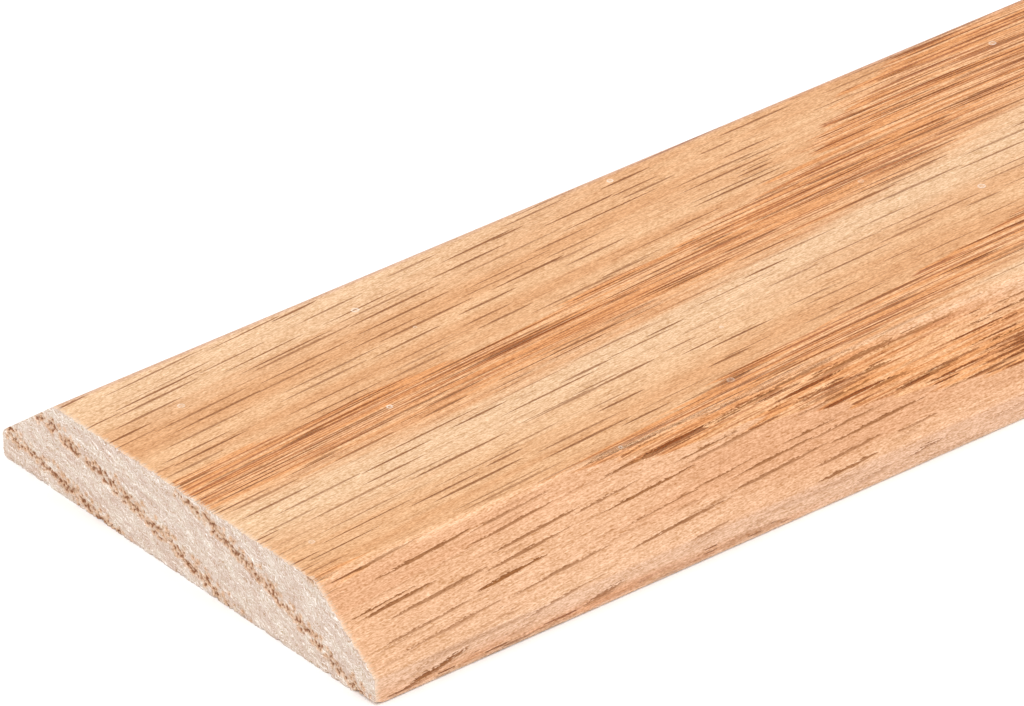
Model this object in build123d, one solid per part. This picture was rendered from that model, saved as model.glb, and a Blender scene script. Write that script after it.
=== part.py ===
from build123d import *
import os

# Oak threshold strip: one straight length of solid oak, milled flat underneath, with a flat
# top and a wide bevel down each side to a thin upright edge.
# X runs along the strip, Y across it and Z up from the floor. The origin is the middle of
# the underside, where the strip lies on the floor.

INCH = 25.4

# Driving dimensions, in millimetres.
STRIP_LENGTH = 36 * INCH
STRIP_WIDTH = 2.5 * INCH
STRIP_THICKNESS = 13 / 32 * INCH
EDGE_HEIGHT = 1 / 8 * INCH
BEVEL_RUN = 3 / 8 * INCH

# Radii of the sanded corners of the section.
TOP_ARRIS_RADIUS = 1.2
EDGE_ARRIS_RADIUS = 0.4
BOTTOM_ARRIS_RADIUS = 0.4


def strip_section():
    """The strip's section across the grain, drawn in the YZ plane with its corners sanded."""
    half_width = STRIP_WIDTH / 2
    half_top = half_width - BEVEL_RUN
    bottom_corners = [(-half_width, 0), (half_width, 0)]
    edge_corners = [(half_width, EDGE_HEIGHT), (-half_width, EDGE_HEIGHT)]
    top_corners = [(half_top, STRIP_THICKNESS), (-half_top, STRIP_THICKNESS)]
    outline = Polyline(
        bottom_corners[0],
        bottom_corners[1],
        edge_corners[0],
        top_corners[0],
        top_corners[1],
        edge_corners[1],
        close=True,
    )
    section = make_face(Plane.YZ * outline)
    for corners, radius in (
        (bottom_corners, BOTTOM_ARRIS_RADIUS),
        (edge_corners, EDGE_ARRIS_RADIUS),
        (top_corners, TOP_ARRIS_RADIUS),
    ):
        section = fillet([nearest_vertex(section, corner) for corner in corners], radius)
    return section


def nearest_vertex(section, corner):
    """The vertex of the section at one corner of its outline."""
    place = Vector(0, corner[0], corner[1])
    return min(section.vertices(), key=lambda vertex: (Vector(*vertex) - place).length)


def oak_strip():
    """The section run the whole length of the strip, half of it each side of the origin."""
    return extrude(strip_section(), STRIP_LENGTH / 2, both=True)


os.makedirs("parts", exist_ok=True)
export_step(oak_strip(), "parts/oak_strip.step")
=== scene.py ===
import math
import random

import bmesh
import bpy
import numpy as np
from mathutils import Matrix, Vector, noise


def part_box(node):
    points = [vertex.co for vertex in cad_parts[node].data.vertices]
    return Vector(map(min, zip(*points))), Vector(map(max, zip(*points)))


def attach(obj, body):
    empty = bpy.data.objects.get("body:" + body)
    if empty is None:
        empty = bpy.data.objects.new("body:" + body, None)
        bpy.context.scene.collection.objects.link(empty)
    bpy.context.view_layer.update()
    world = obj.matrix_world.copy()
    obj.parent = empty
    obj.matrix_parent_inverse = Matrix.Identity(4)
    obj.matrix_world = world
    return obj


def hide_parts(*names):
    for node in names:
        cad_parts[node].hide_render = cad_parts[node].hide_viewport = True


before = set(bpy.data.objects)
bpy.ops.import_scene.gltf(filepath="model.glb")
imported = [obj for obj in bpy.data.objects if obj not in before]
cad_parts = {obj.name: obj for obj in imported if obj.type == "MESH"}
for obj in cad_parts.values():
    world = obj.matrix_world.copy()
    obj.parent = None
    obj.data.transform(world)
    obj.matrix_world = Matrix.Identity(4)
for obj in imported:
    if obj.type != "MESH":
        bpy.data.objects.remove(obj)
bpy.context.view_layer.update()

# A solid oak threshold strip. Its shape and its wood are worked out in millimetres, and turned
# into metres where they meet Blender. X runs along the strip, Y across it and Z up.
MM = 0.001

# ------------------------------------------------------------------ sizes of the strip
strip_low, strip_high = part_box("oak_strip")
LENGTH, WIDTH, THICKNESS = ((strip_high - strip_low) / MM)[:]
EDGE_HEIGHT = 3.175
BEVEL_RUN = 9.525
TOP_ARRIS_RADIUS = 1.2
EDGE_ARRIS_RADIUS = 0.4
BOTTOM_ARRIS_RADIUS = 0.4
HALF_WIDTH = WIDTH / 2
HALF_TOP = HALF_WIDTH - BEVEL_RUN

# Mesh steps. The sawn ends are fine enough to hold the open pores of the end grain.
BODY_STEP_ACROSS = 1.5
BODY_STEP_ALONG = 9.0
BODY_ARC_STEPS = 5
END_STEP = 0.14
END_ROWS = 64
END_ARC_STEPS = 6
RIM_DEPTHS = (0.25, 0.6, 1.2)
BODY_START = 2.4
INTERPOLATION_ARC_STEPS = 12
LEAST_COLUMN_GAP = 0.03
MILLED, SAWN = 0, 1

# The painted square that the skin unrolls onto.
CHART_MARGIN = 0.004
SKIN_CHART_HEIGHT = 0.91

# ------------------------------------------------------------------ how the tree grew
# The growth rings are wide arcs about the tree's pith, which lay far under the strip. Each ring
# starts, at its own radius, with porous earlywood.
PITH_Y = 78.0
PITH_Z = -278.0
MEAN_RING_RADIUS = 290.0
RING_STARTS = (280.2, 285.2, 290.7, 298.1, 305.1, 311.4)
EARLYWOOD_THICKNESS = 2.9

# The fibres sway to one side and back along the strip, by so much and over such a length.
GRAIN_SWAY = 5.5
GRAIN_WAVE = 450.0

# Slow waves of the growth rings along the strip, as a height and two lengths. A share of them
# shows at each place across it: least near the middle and most towards the far side.
WAVE_HEIGHT = 1.8
SHORT_WAVE = 260
SHORT_WAVE_START = 20
LONG_WAVE = 617
MEAN_SHARE = 0.97
FAR_SIDE_SHARE, FAR_SIDE_CREST, FAR_SIDE_WAVE = 0.21, 36, 76
CORRUGATION_SHARE, CORRUGATION_CREST, CORRUGATION_WAVE = 0.13, 25, 38

# Smaller waves on top of them, as a height and the cells they fill along and round the ring.
RIPPLE_HEIGHT = 1.1
RIPPLE_CELL = (45, 7)
FINGER_CELL = (18, 0.9)


def layer_drift(along, y, cosine):
    """How far the growth layers sink into the strip, at a distance along it and a place across."""
    turn = 2 * math.pi
    short_wave = WAVE_HEIGHT * (1 - cosine((along - SHORT_WAVE_START) * (turn / SHORT_WAVE)))
    long_wave = WAVE_HEIGHT * (1 - cosine(along * (turn / LONG_WAVE)))
    far_side = FAR_SIDE_SHARE * cosine((y - FAR_SIDE_CREST) * (turn / FAR_SIDE_WAVE))
    corrugation = cosine((y - CORRUGATION_CREST) * (turn / CORRUGATION_WAVE)) * CORRUGATION_SHARE
    return (short_wave + long_wave) * (MEAN_SHARE + far_side + corrugation)


# ------------------------------------------------------------------ the section's outline
def fillet_arc(before, corner, after, radius, steps):
    """The points of the arc that rounds one corner of the section."""
    into = (before - corner).normalized()
    out = (after - corner).normalized()
    half_angle = into.angle(out) / 2
    centre = corner + (into + out).normalized() * (radius / math.sin(half_angle))
    first = corner + into * (radius / math.tan(half_angle)) - centre
    last = corner + out * (radius / math.tan(half_angle)) - centre
    turn = first.angle_signed(last)
    points = []
    for step in range(steps + 1):
        angle = -turn * step / steps
        points.append(centre + Matrix.Rotation(angle, 2) @ first)
    return points


def outline(arc_steps, straight_step):
    """The section's rounded outline, anticlockwise from the foot of the left edge."""
    corners = [
        (Vector((-HALF_WIDTH, 0)), BOTTOM_ARRIS_RADIUS),
        (Vector((HALF_WIDTH, 0)), BOTTOM_ARRIS_RADIUS),
        (Vector((HALF_WIDTH, EDGE_HEIGHT)), EDGE_ARRIS_RADIUS),
        (Vector((HALF_TOP, THICKNESS)), TOP_ARRIS_RADIUS),
        (Vector((-HALF_TOP, THICKNESS)), TOP_ARRIS_RADIUS),
        (Vector((-HALF_WIDTH, EDGE_HEIGHT)), EDGE_ARRIS_RADIUS),
    ]
    arcs = []
    for i, (corner, radius) in enumerate(corners):
        before, after = corners[i - 1][0], corners[(i + 1) % len(corners)][0]
        arcs.append(fillet_arc(before, corner, after, radius, arc_steps))
    points = []
    for i, arc in enumerate(arcs):
        points += arc
        start, end = arc[-1], arcs[(i + 1) % len(arcs)][0]
        pieces = max(1, round((end - start).length / straight_step))
        points += [start.lerp(end, n / pieces) for n in range(1, pieces)]
    return np.array([tuple(p) for p in points])


def split_outline():
    """The underside and the upper side of the outline, each as y and z in the order of y."""
    points = outline(INTERPOLATION_ARC_STEPS, WIDTH)
    corner = len(points) // 6
    lower, upper = points[: 2 * corner], points[2 * corner:][::-1]
    return lower, upper


UNDERSIDE, UPPER_SIDE = split_outline()


def z_bottom(y):
    return np.interp(y, UNDERSIDE[:, 0], UNDERSIDE[:, 1])


def z_top(y):
    return np.interp(y, UPPER_SIDE[:, 0], UPPER_SIDE[:, 1])


# ------------------------------------------------------------------ relief of the sawn ends
NEAR_END_SEED = 11
FAR_END_SEED = 29

# Rows of open pores outside each ring: how far outside, the gap along the row and the radius.
PORE_ROWS = ((0.1, 0.25, 0.15), (0.45, 0.28, 0.14), (0.9, 0.42, 0.12), (1.5, 0.9, 0.09))
PORE_SCATTER = 0.26
PORE_CLUMP = 1.6
EARLYWOOD_HALO = 0.45

# Depths below the square end, and the tilt, pitch and sway of the marks that the saw left.
MEAN_DEPTH = 0.08
SAW_MARK_DEPTH = 0.015
SAW_TILT_UP, SAW_TILT_ACROSS = 0.94, 0.34
SAW_PITCH = 7.0
SAW_SWAY = 2.5
PORE_DEPTH = 0.30
CHIP_DEPTH = 0.35
CHIP_REACH = 0.5

# How far the saw tore the rim, and the broken corner at the foot of the near side.
TORN_HEIGHT = 0.22
CORNER_CHIP_HEIGHT = 0.5
CORNER_CHIP_WIDTH = 4.0


def ripple(y, z, size, seed, octaves=3):
    """Smooth noise from about -1 to 1 at each point, with lumps of a size in millimetres."""
    return np.array([
        noise.fractal(Vector((a / size, b / size, seed)), 0.6, 2.0, octaves)
        for a, b in zip(y, z)
    ])


def end_pores(along, rng):
    """The open pores on a sawn end: y, z, radius and depth, in rows just outside each ring."""
    pores = []
    for start in RING_STARTS:
        for offset, gap, radius in PORE_ROWS:
            y = -HALF_WIDTH
            while y < HALF_WIDTH:
                y += gap * rng.uniform(0.3, 1.7)
                clump = noise.noise(Vector((y / PORE_CLUMP, start, offset + along)))
                layer = start + offset + rng.gauss(0, PORE_SCATTER)
                layer -= layer_drift(along, y, math.cos)
                z = PITH_Z + math.sqrt(layer ** 2 - (y - PITH_Y) ** 2)
                size = radius * (rng.uniform(0.55, 1.3) + 0.4 * clump)
                crowded = clump > rng.uniform(-0.8, 0.0)
                if crowded and z_bottom(y) + 0.1 < z < z_top(y) - 0.1:
                    pores.append((y, z, size, rng.uniform(0.5, 1.0)))
    return np.array(pores)


def end_surface(y, z, along, seed):
    """How deep each point of a sawn end lies, and how much pore and earlywood it shows."""
    rng = random.Random(seed)
    pores = end_pores(along, rng)
    pore = np.zeros(len(y))
    earlywood = np.zeros(len(y))
    for pore_y, pore_z, radius, strength in pores:
        distance = np.hypot(y - pore_y, z - pore_z)
        pore = np.maximum(pore, strength * np.clip(1.5 - distance / radius, 0, 1))
        halo = strength * np.clip(1.3 - distance / EARLYWOOD_HALO, 0, 1)
        earlywood = np.maximum(earlywood, halo)
    torn = ripple(y, z, 0.45, seed)
    fuzz = ripple(y, z, 0.16, seed + 7, 1)
    wide = ripple(y, z, 3.0, seed + 13)
    saw_place = (SAW_TILT_UP * z + SAW_TILT_ACROSS * y) * SAW_PITCH
    saw_marks = np.sin(saw_place + SAW_SWAY * wide)
    depth = MEAN_DEPTH + 0.025 * wide + (0.04 + 0.06 * earlywood) * torn + 0.04 * fuzz
    depth += SAW_MARK_DEPTH * saw_marks + PORE_DEPTH * pore
    to_rim = np.minimum(z - z_bottom(y), z_top(y) - z)
    chips = np.clip(ripple(y, z, 0.9, seed + 21), 0, 1)
    depth += CHIP_DEPTH * chips * np.clip(1 - to_rim / CHIP_REACH, 0, 1)
    return depth, pore, earlywood


def torn_foot(y, seed):
    """How far the saw tore the foot of an end upwards, at each place across the strip."""
    splinters = np.clip(ripple(y, y * 0, 1.3, seed + 31), 0, 1) * TORN_HEIGHT
    in_chip = np.clip((-y - HALF_WIDTH + CORNER_CHIP_WIDTH) / 0.8, 0, 1)
    corner_chip = CORNER_CHIP_HEIGHT * in_chip
    return splinters + corner_chip * (0.75 + 0.25 * ripple(y, y * 0, 0.6, seed + 37))


def torn_crest(y, seed):
    """How far the saw tore the top of an end downwards, at each place across the strip."""
    return np.clip(ripple(y, y * 0, 0.8, seed + 41), 0, 1) * TORN_HEIGHT


# ------------------------------------------------------------------ the mesh
class Skin:
    """Collects the vertices and faces of one closed mesh."""

    def __init__(self):
        self.points = []
        self.shares = []
        self.pore = []
        self.earlywood = []
        self.faces = []
        self.materials = []

    def add(self, points, shares=None, pore=None, earlywood=None):
        """Adds vertices, with how far round the outline each is, and returns their numbers."""
        first = len(self.points)
        self.points += [tuple(p) for p in points]
        self.shares += list(shares) if shares is not None else [0.0] * len(points)
        self.pore += list(pore) if pore is not None else [0.0] * len(points)
        self.earlywood += list(earlywood) if earlywood is not None else [0.0] * len(points)
        return list(range(first, first + len(points)))

    def face(self, corners, material=MILLED):
        self.faces.append(corners)
        self.materials.append(material)

    def tube(self, ring_a, ring_b):
        """Quads between two rings with the same number of points."""
        for i in range(len(ring_a)):
            j = (i + 1) % len(ring_a)
            self.face((ring_a[i], ring_a[j], ring_b[j], ring_b[i]))

    def zip(self, ring_a, share_a, ring_b, share_b):
        """Triangles between two rings with different numbers of points."""
        a, b = 0, 0
        share_a, share_b = list(share_a) + [1.0], list(share_b) + [1.0]
        while a < len(ring_a) or b < len(ring_b):
            corner_a = ring_a[a % len(ring_a)]
            corner_b = ring_b[b % len(ring_b)]
            a_next = a < len(ring_a) and (b == len(ring_b) or share_a[a + 1] <= share_b[b + 1])
            if a_next:
                a += 1
                self.face((corner_a, ring_a[a % len(ring_a)], corner_b))
            else:
                b += 1
                self.face((corner_a, ring_b[b % len(ring_b)], corner_b))


def shares_round(loop):
    """How far round the outline each point of a loop is, from 0 to 1."""
    steps = np.hypot(*(np.roll(loop, -1, axis=0) - loop).T)
    return np.concatenate([[0], np.cumsum(steps)[:-1]]) / steps.sum()


def end_columns():
    """The y of each column of vertices on a sawn end, closer together round the corners."""
    places = list(np.linspace(-HALF_WIDTH, HALF_WIDTH, round(WIDTH / END_STEP) + 1))
    places += [p[0] for p in outline(END_ARC_STEPS, WIDTH)]
    places = sorted(min(max(p, -HALF_WIDTH), HALF_WIDTH) for p in places)
    kept = [-HALF_WIDTH]
    for p in places:
        if p - kept[-1] > LEAST_COLUMN_GAP and HALF_WIDTH - p > LEAST_COLUMN_GAP:
            kept.append(p)
    return np.array(kept + [HALF_WIDTH])


def round_rim(grid):
    """What stands on the rim of a grid of columns and rows, in order round it from the foot."""
    return np.concatenate([grid[:, 0], grid[-1, 1:], grid[-2::-1, -1], grid[0, -2:0:-1]])


def add_end(skin, side, seed):
    """Adds one sawn end and the start of the milled skin, and returns their last ring."""
    columns = end_columns()
    low, high = z_bottom(columns), z_top(columns)
    rows = np.linspace(0, 1, END_ROWS + 1)
    y = np.repeat(columns, END_ROWS + 1)
    foot, crest = low + torn_foot(columns, seed), high - torn_crest(columns, seed)
    z = (foot[:, None] + (crest - foot)[:, None] * rows[None, :]).ravel()
    along = 0 if side < 0 else LENGTH
    depth, pore, earlywood = end_surface(y, z, along, seed)
    x = side * (LENGTH / 2 - np.clip(depth, 0.0, None))
    number = np.array(skin.add(np.column_stack([x, y, z]), None, pore, earlywood))
    number = number.reshape(len(columns), END_ROWS + 1)
    for i in range(len(columns) - 1):
        for j in range(END_ROWS):
            corners = (number[i, j], number[i + 1, j], number[i + 1, j + 1], number[i, j + 1])
            skin.face(tuple(int(c) for c in corners), SAWN)
    rim = [int(n) for n in round_rim(number)]
    torn = np.array([skin.points[n] for n in rim])
    whole = round_rim(low[:, None] + (high - low)[:, None] * rows[None, :])
    shares = shares_round(np.column_stack([torn[:, 1], whole]))
    for n, share in zip(rim, shares):
        skin.shares[n] = share
    ring = rim
    for rim_depth in RIM_DEPTHS:
        share = rim_depth / RIM_DEPTHS[-1]
        place = torn.copy()
        place[:, 0] += (side * (LENGTH / 2 - RIM_DEPTHS[-1]) - torn[:, 0]) * share
        place[:, 2] += (whole - torn[:, 2]) * share
        here = skin.add(place, shares)
        skin.tube(ring, here)
        ring = here
    return ring, shares


def lay_out(mesh, shares):
    """Unrolls the skin over most of a square for painting, with the two ends side by side above."""
    layer = mesh.uv_layers.new(name="OFBake")
    end_scale = (0.5 - 2 * CHART_MARGIN) / WIDTH
    for face in mesh.polygons:
        wrapped = max(shares[v] for v in face.vertices) > 0.75
        for loop, v in zip(face.loop_indices, face.vertices):
            x, y, z = mesh.vertices[v].co / MM
            if face.material_index == SAWN and x < 0:
                right = CHART_MARGIN + (HALF_WIDTH - y) * end_scale
                up = SKIN_CHART_HEIGHT + z * end_scale
            elif face.material_index == SAWN:
                right = 0.5 + CHART_MARGIN + (HALF_WIDTH + y) * end_scale
                up = SKIN_CHART_HEIGHT + z * end_scale
            else:
                share = shares[v] + (1.0 if wrapped and shares[v] < 0.25 else 0.0)
                right = CHART_MARGIN + (x / LENGTH + 0.5) * (1 - 2 * CHART_MARGIN)
                up = CHART_MARGIN + (1 - share) * (SKIN_CHART_HEIGHT - 3 * CHART_MARGIN)
            layer.data[loop].uv = (right, up)


def oak_mesh():
    """The strip's whole skin: two sawn ends, and the milled faces between them."""
    skin = Skin()
    near_ring, near_shares = add_end(skin, -1, NEAR_END_SEED)
    loop = outline(BODY_ARC_STEPS, BODY_STEP_ACROSS)
    body_shares = shares_round(loop)
    reach = LENGTH / 2 - BODY_START
    sections = round(2 * reach / BODY_STEP_ALONG)
    previous = None
    for n in range(sections + 1):
        x = -reach + 2 * reach * n / sections
        here = skin.add([(x, a, b) for a, b in loop], body_shares)
        if previous is None:
            skin.zip(near_ring, near_shares, here, body_shares)
        else:
            skin.tube(previous, here)
        previous = here
    far_ring, far_shares = add_end(skin, 1, FAR_END_SEED)
    skin.zip(far_ring, far_shares, previous, body_shares)
    mesh = bpy.data.meshes.new("oak_strip_wood")
    mesh.from_pydata((np.array(skin.points) * MM).tolist(), [], skin.faces)
    mesh.polygons.foreach_set("material_index", skin.materials)
    for name, values in (("pore", skin.pore), ("earlywood", skin.earlywood)):
        attribute = mesh.attributes.new(name, "FLOAT", "POINT")
        attribute.data.foreach_set("value", values)
    builder = bmesh.new()
    builder.from_mesh(mesh)
    bmesh.ops.recalc_face_normals(builder, faces=builder.faces)
    builder.to_mesh(mesh)
    builder.free()
    mesh.polygons.foreach_set("use_smooth", [True] * len(mesh.polygons))
    mesh.update()
    lay_out(mesh, skin.shares)
    return mesh


# ------------------------------------------------------------------ shader arithmetic
class Number:
    """A number in a shader. Ordinary arithmetic on it adds Math nodes."""

    def __init__(self, graph, socket):
        self.graph = graph
        self.socket = socket

    def __add__(self, other):
        return self.graph.math("ADD", self, other)

    def __sub__(self, other):
        return self.graph.math("SUBTRACT", self, other)

    def __rsub__(self, other):
        return self.graph.math("SUBTRACT", other, self)

    def __mul__(self, other):
        return self.graph.math("MULTIPLY", self, other)

    def __truediv__(self, other):
        return self.graph.math("DIVIDE", self, other)

    __radd__ = __add__
    __rmul__ = __mul__


class Graph:
    """Writes one material's nodes as plain calls."""

    def __init__(self, name):
        self.material = bpy.data.materials.new(name)
        self.material.use_nodes = True
        self.tree = self.material.node_tree
        self.tree.nodes.clear()

    def node(self, kind, values=None, **settings):
        node = self.tree.nodes.new(kind)
        for name, value in settings.items():
            setattr(node, name, value)
        for name, value in (values or {}).items():
            self.feed(node.inputs[name], value)
        return node

    def feed(self, socket, value):
        value = getattr(value, "socket", value)
        if isinstance(value, bpy.types.NodeSocket):
            self.tree.links.new(value, socket)
        else:
            socket.default_value = value

    def math(self, operation, *values):
        node = self.node("ShaderNodeMath", operation=operation)
        for socket, value in zip(node.inputs, values):
            self.feed(socket, value)
        return Number(self, node.outputs[0])

    def cosine(self, angle):
        return self.math("COSINE", angle)

    def rise(self, value, low, high):
        """0 below low and 1 above high, with a smooth step. It falls if low is the higher."""
        values = {"Value": value, "From Min": low, "From Max": high}
        node = self.node("ShaderNodeMapRange", values, interpolation_type="SMOOTHSTEP")
        return Number(self, node.outputs[0])

    def vector(self, x, y, z=0.0):
        return self.node("ShaderNodeCombineXYZ", {"X": x, "Y": y, "Z": z}).outputs[0]

    def split(self, vector):
        node = self.node("ShaderNodeSeparateXYZ", {"Vector": vector})
        return [Number(self, s) for s in node.outputs]

    def noise(self, vector, detail):
        """Soft noise, from about 0.2 to 0.8 and mostly near 0.5."""
        values = {"Vector": vector, "Scale": 1.0, "Detail": detail, "Roughness": 0.5}
        return Number(self, self.node("ShaderNodeTexNoise", values).outputs["Fac"])

    def mix(self, factor, a, b):
        """Colour a where the factor is 0 and colour b where it is 1."""
        node = self.node("ShaderNodeMix", data_type="RGBA", blend_type="MIX", clamp_factor=True)
        self.feed(node.inputs[0], factor)
        self.feed(node.inputs[6], a)
        self.feed(node.inputs[7], b)
        return node.outputs[2]

    def shade(self, color, amount):
        """Makes wood lighter and creamier by an amount, or darker and warmer below zero."""
        factors = self.vector(amount * 0.72 + 1.0, amount + 1.0, amount * 1.4 + 1.0)
        values = {0: color, 1: factors}
        return self.node("ShaderNodeVectorMath", values, operation="MULTIPLY").outputs[0]

    def attribute(self, name):
        node = self.node("ShaderNodeAttribute", attribute_name=name)
        return Number(self, node.outputs["Fac"])


def color(red, green, blue):
    """A shader colour from the 0 to 255 numbers a screen shows."""
    def linear(value):
        value /= 255
        return value / 12.92 if value <= 0.04045 else ((value + 0.055) / 1.055) ** 2.4
    return (linear(red), linear(green), linear(blue), 1.0)


# ------------------------------------------------------------------ red oak
# Cells of the grain's noises, in millimetres along the strip, round the ring and across it.
BROAD_CELL = (120, 3.5, 2.5)
STREAK_CELL = (35, 0.5, 0.9)
FIBRE_CELL = (2.4, 0.17, 0.17)
LAYER_CELL = (12, 4, 0.14)
SPECKLE_CELL = (0.36, 0.13, 0.13)

# Ray flecks, each kind as the pitch of its cells and half its own size, along and across.
RAY_PITCH, RAY_HALF_SIZE = (14, 1.5), (7.0, 0.12)
SMALL_RAY_PITCH, SMALL_RAY_HALF_SIZE = (10, 1.3), (4.0, 0.075)
EDGE_RAY_PITCH, EDGE_RAY_HALF_SIZE = (22, 2.8), (8.0, 0.5)
SMALL_RAY_SHIFT = 5.3
EDGE_RAY_SHIFT = 2.2

# Bubbles in the lacquer: the pitch of their cells, and a shift in cells.
NIB_PITCH = 22.0
NIB_SHIFT = 0.4

# Colours of the milled faces.
LATEWOOD_TAN = color(203, 149, 102)
LATEWOOD_PALE = color(212, 165, 121)
LATEWOOD_CREAM = color(217, 180, 142)
EARLYWOOD_ORANGE = color(209, 140, 82)
EARLYWOOD_PALE = color(218, 165, 118)
FIBRE_BROWN = color(148, 76, 20)
BEVEL_TINT = color(208, 158, 130)
EDGE_TINT = color(210, 172, 148)
RAY_BROWN = color(130, 75, 26)
SMALL_RAY_BROWN = color(138, 82, 32)
EDGE_RAY_BROWN = color(166, 120, 86)
PORE_BROWN = color(132, 64, 14)
TORN_PORE_BROWN = color(74, 32, 8)
# Painted light on the top arrises, not the wood's own colour: a pale painted highlight along the
# near one and a darker painted shade along the far one.
NEAR_ARRIS_HIGHLIGHT = color(236, 190, 150)
FAR_ARRIS_SHADE = color(176, 132, 116)
# A painted highlight along the foot of each upright edge, lightening the shade next to the floor.
FOOT_HIGHLIGHT = color(228, 196, 168)
TORN_RIM_PALE = color(226, 204, 184)
NIB_PALE = color(232, 214, 196)

# Colours of the sawn ends.
SAWN_PALE = color(214, 200, 186)
SAWN_DUSKY = color(200, 178, 164)
SAWN_TUFT = color(194, 164, 146)
SAWN_RAY = color(180, 142, 124)
SAWN_STRAND = color(232, 220, 206)
SAWN_EARLYWOOD = color(208, 160, 118)
SAWN_PORE = color(124, 70, 34)


class Grain:
    """Millimetre coordinates in the wood: along the strip, round the rings and outward."""

    def __init__(self, graph):
        position = graph.node("ShaderNodeTexCoord").outputs["Object"]
        x, y, z = graph.split(position)
        x, y, z = x / MM, y / MM, z / MM
        self.along = x + LENGTH / 2
        self.side = graph.math("ABSOLUTE", y)
        self.across = y
        self.height = z
        quarter = GRAIN_WAVE / 4
        sway = graph.cosine((self.along - quarter) * (2 * math.pi / GRAIN_WAVE)) * GRAIN_SWAY
        across = y - PITH_Y - sway
        up = z - PITH_Z
        radius = graph.math("SQRT", (y - PITH_Y) * (y - PITH_Y) + up * up)
        self.round = graph.math("ARCTAN2", across, up) * MEAN_RING_RADIUS
        ripples = self.ring_noise(graph, RIPPLE_CELL, 3.0)
        fingers = self.ring_noise(graph, FINGER_CELL, 8.0)
        above_floor = graph.rise(z, 0.02, 0.2)
        self.bevelled = graph.rise(self.side, HALF_TOP - 0.2, HALF_TOP + 0.2) * above_floor
        drift = layer_drift(self.along, y, graph.cosine)
        self.layer = radius + drift + ripples * RIPPLE_HEIGHT + fingers * RIPPLE_HEIGHT
        # The fibres follow the slow waves, but only a quarter of them on the bevels.
        self.fibre_layer = radius + drift * (1.0 - self.bevelled * 0.75)
        self.depth = self.since_ring(graph)

    def ring_noise(self, graph, cell, slice_height):
        """Noise from about -0.5 to 0.5, with cells this many millimetres along and round.

        Another slice height gives another pattern.
        """
        place = graph.vector(self.along / cell[0], self.round / cell[1], slice_height)
        return graph.noise(place, 1.0) - 0.5

    def since_ring(self, graph):
        """How far outside the last ring boundary a point is."""
        depth = None
        for start in RING_STARTS:
            outside = self.layer - start
            inside = graph.math("LESS_THAN", outside, 0.0) * 1000
            outside = outside + inside
            depth = outside if depth is None else graph.math("MINIMUM", depth, outside)
        return depth

    def vector(self, graph, along, around, layer):
        """A texture vector whose cells are this many millimetres along, round and outward."""
        return graph.vector(self.along / along, self.round / around, self.layer / layer)

    def fibre_vector(self, graph, along, around, layer):
        """The same, for cells that follow the slow waves of the rings but not their ripples."""
        return graph.vector(self.along / along, self.round / around, self.fibre_layer / layer)


def pore_grooves(graph, grain, size, fray):
    """Open vessels, as stretched cells: 1 in the middle of a groove and 0 between grooves.

    The bevels cut the layers steeply, so there the cells are thin outward too, to keep the
    grooves slim.
    """
    bevelled = grain.bevelled
    vector = grain.fibre_vector(graph, 24.0, bevelled * 0.04 + 0.34, 1.2 - bevelled * 0.86)
    cell = graph.node("ShaderNodeTexVoronoi", {"Vector": vector, "Scale": 1.0})
    distance = Number(graph, cell.outputs["Distance"])
    chance = graph.split(cell.outputs["Color"])
    edge = size * (chance[0] * 0.8 + 0.5) + 0.001
    groove = graph.rise(distance / edge + fray * bevelled * 2.0, 1.0, bevelled * 0.2 + 0.5)
    return groove * (1.0 - chance[1] * bevelled * 0.4)


def ray_flecks(graph, along, across, pitch, half_size, shift, fray):
    """Rays cut across: slim dark lens shapes along the grain, each with its own size.

    The shift moves their cells, in cells, so that two kinds of ray don't fall together.
    """
    along = along / pitch[0] + shift
    across = across / pitch[1] + shift
    values = {"Vector": graph.vector(along, across), "Scale": 1.0}
    cell = graph.node("ShaderNodeTexVoronoi", values, voronoi_dimensions="2D")
    centre = graph.split(cell.outputs["Position"])
    chance = graph.split(cell.outputs["Color"])
    length = (chance[0] * 0.8 + 0.35) * half_size[0]
    width = (chance[1] * 0.9 + 0.55) * half_size[1]
    off_along = (along - centre[0]) * pitch[0] / length
    off_across = graph.math("ABSOLUTE", (across - centre[1]) * pitch[1] + fray)
    lens = graph.math("MAXIMUM", 1.0 - off_along * off_along, 0.0)
    inside = graph.rise(off_across - lens * width, 0.03, -0.03)
    return inside * graph.rise(lens, 0.02, 0.25) * (chance[2] * 0.4 + 0.6)


def ring_colors(graph, grain, early):
    """The wood's own colour: tan latewood, a cream zone in it, and orange earlywood."""
    broad = graph.noise(grain.vector(graph, *BROAD_CELL), 3.0)
    streaks = graph.noise(grain.vector(graph, *STREAK_CELL), 2.0)
    lines = graph.noise(grain.fibre_vector(graph, 26.0, 0.17, 1.1 - grain.bevelled * 0.85), 1.0)
    cream_zone = graph.rise(grain.depth, 1.6, 2.8) * graph.rise(grain.depth, 5.8, 3.2)
    tan = graph.mix(graph.rise(broad, 0.38, 0.62), LATEWOOD_TAN, LATEWOOD_PALE)
    late = graph.mix(cream_zone * 0.8, tan, LATEWOOD_CREAM)
    orange = graph.mix(graph.rise(streaks, 0.4, 0.6), EARLYWOOD_ORANGE, EARLYWOOD_PALE)
    wood = graph.mix(early * 0.9, late, orange)
    brown = graph.rise(lines, 0.53, 0.6) * (early * 0.76 + 0.04)
    return graph.mix(brown * (1.0 - grain.bevelled * 0.25), wood, FIBRE_BROWN), streaks


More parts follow.
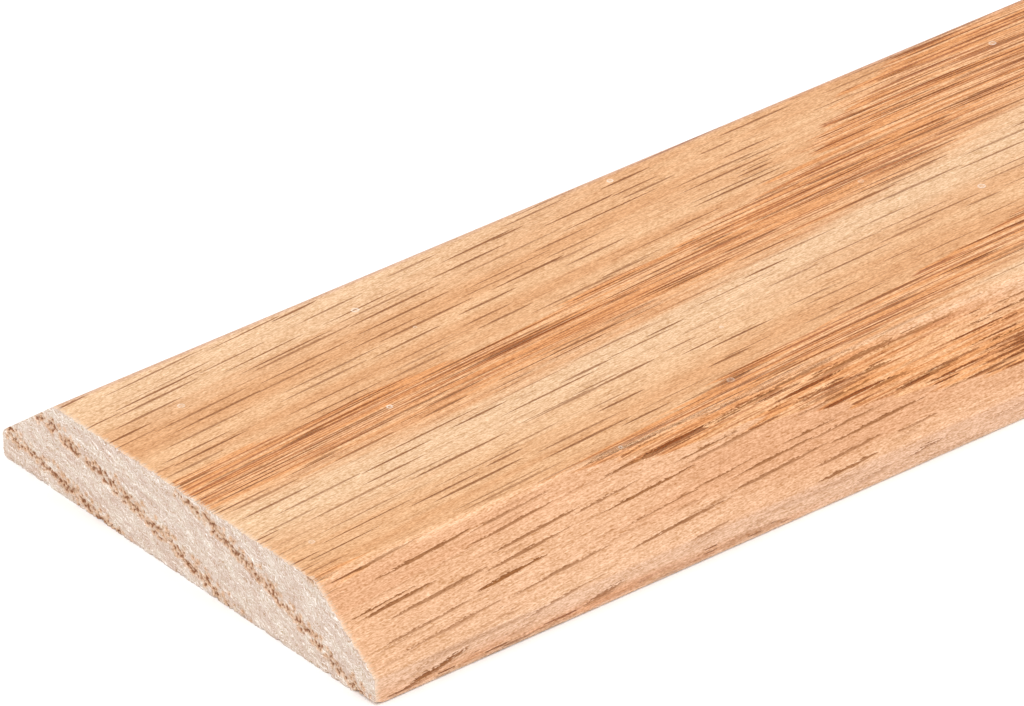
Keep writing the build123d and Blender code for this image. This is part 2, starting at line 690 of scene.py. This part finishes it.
def nibs(graph, grain):
    """Small pale bubbles in the lacquer, a few in each hand's breadth."""
    pitch = NIB_PITCH
    below_top = THICKNESS - grain.height
    unrolled = grain.across + graph.math("SIGN", grain.across) * below_top * 0.75
    place = graph.vector(grain.along / pitch + NIB_SHIFT, unrolled / pitch)
    values = {"Vector": place, "Scale": 1.0}
    cell = graph.node("ShaderNodeTexVoronoi", values, voronoi_dimensions="2D")
    distance = Number(graph, cell.outputs["Distance"]) * pitch
    chance = graph.split(cell.outputs["Color"])
    radius = chance[0] * 0.3 + 0.22
    hollow = graph.rise(distance / radius, 0.7, 0.3) * 0.7
    return graph.rise(distance / radius, 1.0, 0.75) * (1.0 - hollow) * (chance[1] * 0.7 + 0.3)


def milled_oak():
    """Oak under clear satin lacquer, for the milled faces."""
    graph = Graph("red_oak_milled")
    grain = Grain(graph)
    bevelled = grain.bevelled
    edge = graph.rise(grain.height, EDGE_HEIGHT + 0.3, EDGE_HEIGHT - 0.3) * bevelled
    fibres = graph.noise(grain.vector(graph, *FIBRE_CELL), 1.0) - 0.5
    layers = graph.noise(grain.vector(graph, *LAYER_CELL), 1.0) - 0.5
    x_cell, y_cell, z_cell = SPECKLE_CELL
    place = graph.vector(grain.along / x_cell, grain.across / y_cell, grain.height / z_cell)
    speckle = graph.noise(place, 1.0) - 0.5
    fray = (fibres * 0.35 + speckle * 0.25) * (bevelled * 0.8 + 0.2)

    starts = graph.rise(grain.depth, 0.0, 0.1)
    early = starts * graph.rise(grain.depth, EARLYWOOD_THICKNESS, 1.1)
    wood, streaks = ring_colors(graph, grain, early)
    wood = graph.mix(bevelled * (0.38 - early * 0.3), wood, BEVEL_TINT)
    wood = graph.mix(edge * 0.35, wood, EDGE_TINT)
    open_early = graph.rise(grain.depth, 3.0, 0.8) * (bevelled * 0.06 + 0.25)
    porous = starts * (open_early + graph.rise(grain.depth, 6.0, 1.0) * 0.09)
    pores = pore_grooves(graph, grain, porous, fray)
    torn_pores = pores * graph.rise(speckle, 0.04, 0.1) * early * bevelled
    rays = ray_flecks(graph, grain.along, grain.round, RAY_PITCH, RAY_HALF_SIZE, 0.0, fray)
    small_rays = ray_flecks(
        graph, grain.along, grain.round,
        SMALL_RAY_PITCH, SMALL_RAY_HALF_SIZE, SMALL_RAY_SHIFT, fray,
    )
    edge_rays = edge * ray_flecks(
        graph, grain.along, grain.height,
        EDGE_RAY_PITCH, EDGE_RAY_HALF_SIZE, EDGE_RAY_SHIFT, fray,
    )
    wood = graph.mix(rays * 0.95, wood, RAY_BROWN)
    wood = graph.mix(small_rays * 0.35, wood, SMALL_RAY_BROWN)
    wood = graph.mix(pores * (bevelled * 0.15 + 0.8), wood, PORE_BROWN)
    wood = graph.mix(torn_pores * 0.7, wood, TORN_PORE_BROWN)
    wood = graph.mix(edge_rays * 0.5, wood, EDGE_RAY_BROWN)

    # Painted light on the top arrises: a painted highlight on the near side and a painted shade on
    # the far side, broken up by the streaks.
    off_arris = graph.math("ABSOLUTE", grain.side - HALF_TOP)
    arris = graph.rise(off_arris, 0.8, 0.1)
    arris = arris * graph.rise(grain.height, THICKNESS - 1.0, THICKNESS - 0.2)
    # A painted highlight on the lower arrises, which lightens the shade that falls there next to
    # the floor.
    foot = graph.rise(grain.side, HALF_WIDTH - 0.8, HALF_WIDTH - 0.2)
    foot = foot * graph.rise(grain.height, 0.7, 0.1)
    from_end = graph.math("MINIMUM", grain.along, LENGTH - grain.along)
    torn_rim = graph.rise(from_end + fibres * 1.5 + speckle * 1.5, 0.6, 0.2)
    # The arris colours: the painted highlight near, the painted shade far.
    arris_highlight_and_shade = graph.mix(graph.rise(grain.across, -1.0, 1.0), NEAR_ARRIS_HIGHLIGHT, FAR_ARRIS_SHADE)
    wood = graph.mix(arris * (streaks * (0.8 - early * 0.3)), wood, arris_highlight_and_shade)
    # The painted highlight at the foot.
    wood = graph.mix(foot * 0.6, wood, FOOT_HIGHLIGHT)
    wood = graph.mix(torn_rim * 0.7, wood, TORN_RIM_PALE)
    wood = graph.mix(nibs(graph, grain) * 0.7, wood, NIB_PALE)
    tone = fibres * (bevelled * 0.2 + 0.6) + layers * 0.25
    tone = tone + (streaks - 0.5) * (0.2 - bevelled * 0.1)
    wood = graph.shade(wood, tone + speckle * 1.35)

    height = pores * -0.10 + rays * -0.02 + fibres * 0.02 + layers * 0.01
    bump = graph.node("ShaderNodeBump", {"Height": height, "Distance": MM, "Strength": 1.0})
    surface = graph.node("ShaderNodeBsdfPrincipled", {
        "Base Color": wood,
        "Roughness": 0.45 + pores * 0.3 + (streaks - 0.5) * 0.1,
        "IOR": 1.45,
        "Specular IOR Level": 0.25,
        "Normal": bump.outputs[0],
    })
    graph.node("ShaderNodeOutputMaterial", {"Surface": surface.outputs[0]})
    return graph.material


def sawn_oak():
    """Bare end grain as the saw left it, for the two ends."""
    graph = Graph("red_oak_sawn")
    grain = Grain(graph)
    pore = graph.attribute("pore")
    earlywood = graph.attribute("earlywood")
    cloud = graph.noise(graph.vector(grain.round / 3.0, grain.layer / 1.2, 4.0), 2.0)
    curl = graph.noise(graph.vector(grain.round / 0.9, grain.layer / 0.9, 5.0), 2.0) - 0.5
    crumb_place = graph.vector((grain.round + curl) / 0.28, (grain.layer + curl * 1.6) / 0.11, 9.0)
    crumbs = graph.noise(crumb_place, 2.0) - 0.5
    tufts = graph.noise(graph.vector(grain.round / 1.1, grain.layer / 0.28, 6.0), 2.0)
    strands = graph.noise(graph.vector(grain.round / 3.2, (grain.layer + curl) / 0.13, 2.0), 1.0)
    radial = graph.noise(graph.vector(grain.round / 0.22, grain.layer / 4, 1.0), 2.0)
    wood = graph.mix(graph.rise(cloud, 0.3, 0.7), SAWN_PALE, SAWN_DUSKY)
    wood = graph.mix(graph.rise(tufts, 0.45, 0.62) * 0.5, wood, SAWN_TUFT)
    wood = graph.mix(graph.rise(radial, 0.6, 0.72) * 0.5, wood, SAWN_RAY)
    wood = graph.mix(graph.rise(strands, 0.53, 0.66) * 0.6, wood, SAWN_STRAND)
    wood = graph.mix(graph.rise(earlywood + crumbs, 0.25, 0.8) * 0.62, wood, SAWN_EARLYWOOD)
    wood = graph.mix(graph.rise(pore + crumbs * 0.7, 0.2, 0.6) * 0.82, wood, SAWN_PORE)
    wood = graph.shade(wood, crumbs * 2.0 + (strands - 0.5) * 0.6)
    height = crumbs * 0.06 + tufts * 0.08
    bump = graph.node("ShaderNodeBump", {"Height": height, "Distance": MM, "Strength": 1.0})
    surface = graph.node("ShaderNodeBsdfPrincipled", {
        "Base Color": wood,
        "Roughness": 0.85 + crumbs * 0.2,
        "Specular IOR Level": 0.15,
        "Normal": bump.outputs[0],
    })
    graph.node("ShaderNodeOutputMaterial", {"Surface": surface.outputs[0]})
    return graph.material


strip = bpy.data.objects.new("oak_strip_wood", oak_mesh())
bpy.context.scene.collection.objects.link(strip)
for material in (milled_oak(), sawn_oak()):
    strip.data.materials.append(material)
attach(strip, "root")
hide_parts("oak_strip")


# ------------------------------------------------------------------ floor, light and camera
FLOOR_HALF_SIZE = 120.0
FLOOR_COLOR = (0.93, 0.93, 0.93, 1.0)
WORLD_BRIGHTNESS = 1.15
KEY_STRENGTH = 0.9
KEY_SOFTNESS = math.radians(40)
TOWARDS_KEY = Vector((-0.6, -0.45, 1.0))

CAMERA_AZIMUTH = math.radians(-36.64)
CAMERA_ELEVATION = math.radians(30.87)
CAMERA_ROLL = math.radians(-2.26)
CAMERA_DISTANCE = 1.2165
CAMERA_LENS = 416.0
CAMERA_REACH = 500.0
AIM_FROM_END = 0.04213
AIM_OFF_MIDDLE = -0.00023


def add_floor():
    """A wide pale floor under the strip."""
    half = FLOOR_HALF_SIZE
    mesh = bpy.data.meshes.new("floor")
    corners = [(-half, -half, 0), (half, -half, 0), (half, half, 0), (-half, half, 0)]
    mesh.from_pydata(corners, [], [(0, 1, 2, 3)])
    floor = bpy.data.objects.new("floor", mesh)
    bpy.context.scene.collection.objects.link(floor)
    graph = Graph("pale_floor")
    paint = {"Base Color": FLOOR_COLOR, "Roughness": 1.0, "Specular IOR Level": 0.0}
    surface = graph.node("ShaderNodeBsdfPrincipled", paint)
    graph.node("ShaderNodeOutputMaterial", {"Surface": surface.outputs[0]})
    mesh.materials.append(graph.material)


def add_light():
    """An even white studio, and one broad soft key from the front left."""
    world = bpy.data.worlds.new("studio")
    bpy.context.scene.world = world
    world.use_nodes = True
    background = world.node_tree.nodes["Background"]
    background.inputs["Color"].default_value = (1.0, 1.0, 1.0, 1.0)
    background.inputs["Strength"].default_value = WORLD_BRIGHTNESS
    lamp = bpy.data.lights.new("key", "SUN")
    lamp.energy = KEY_STRENGTH
    lamp.angle = KEY_SOFTNESS
    key = bpy.data.objects.new("key", lamp)
    key.rotation_euler = TOWARDS_KEY.to_track_quat("Z", "Y").to_euler()
    bpy.context.scene.collection.objects.link(key)


def add_camera():
    """A long lens that looks down on the near end of the strip."""
    camera = bpy.data.objects.new("camera", bpy.data.cameras.new("camera"))
    camera.data.lens = CAMERA_LENS
    camera.data.clip_end = CAMERA_REACH
    middle = (strip_low.y + strip_high.y) / 2
    aim = Vector((strip_low.x + AIM_FROM_END, middle + AIM_OFF_MIDDLE, strip_high.z))
    level = math.cos(CAMERA_ELEVATION)
    back = Vector((
        math.sin(CAMERA_AZIMUTH) * level,
        -math.cos(CAMERA_AZIMUTH) * level,
        math.sin(CAMERA_ELEVATION),
    ))
    turn = back.to_track_quat("Z", "Y").to_matrix().to_4x4() @ Matrix.Rotation(CAMERA_ROLL, 4, "Z")
    camera.matrix_world = Matrix.Translation(aim + back * CAMERA_DISTANCE) @ turn
    bpy.context.scene.collection.objects.link(camera)
    bpy.context.scene.camera = camera


add_floor()
add_light()
add_camera()
bpy.context.scene.view_settings.view_transform = "Standard"
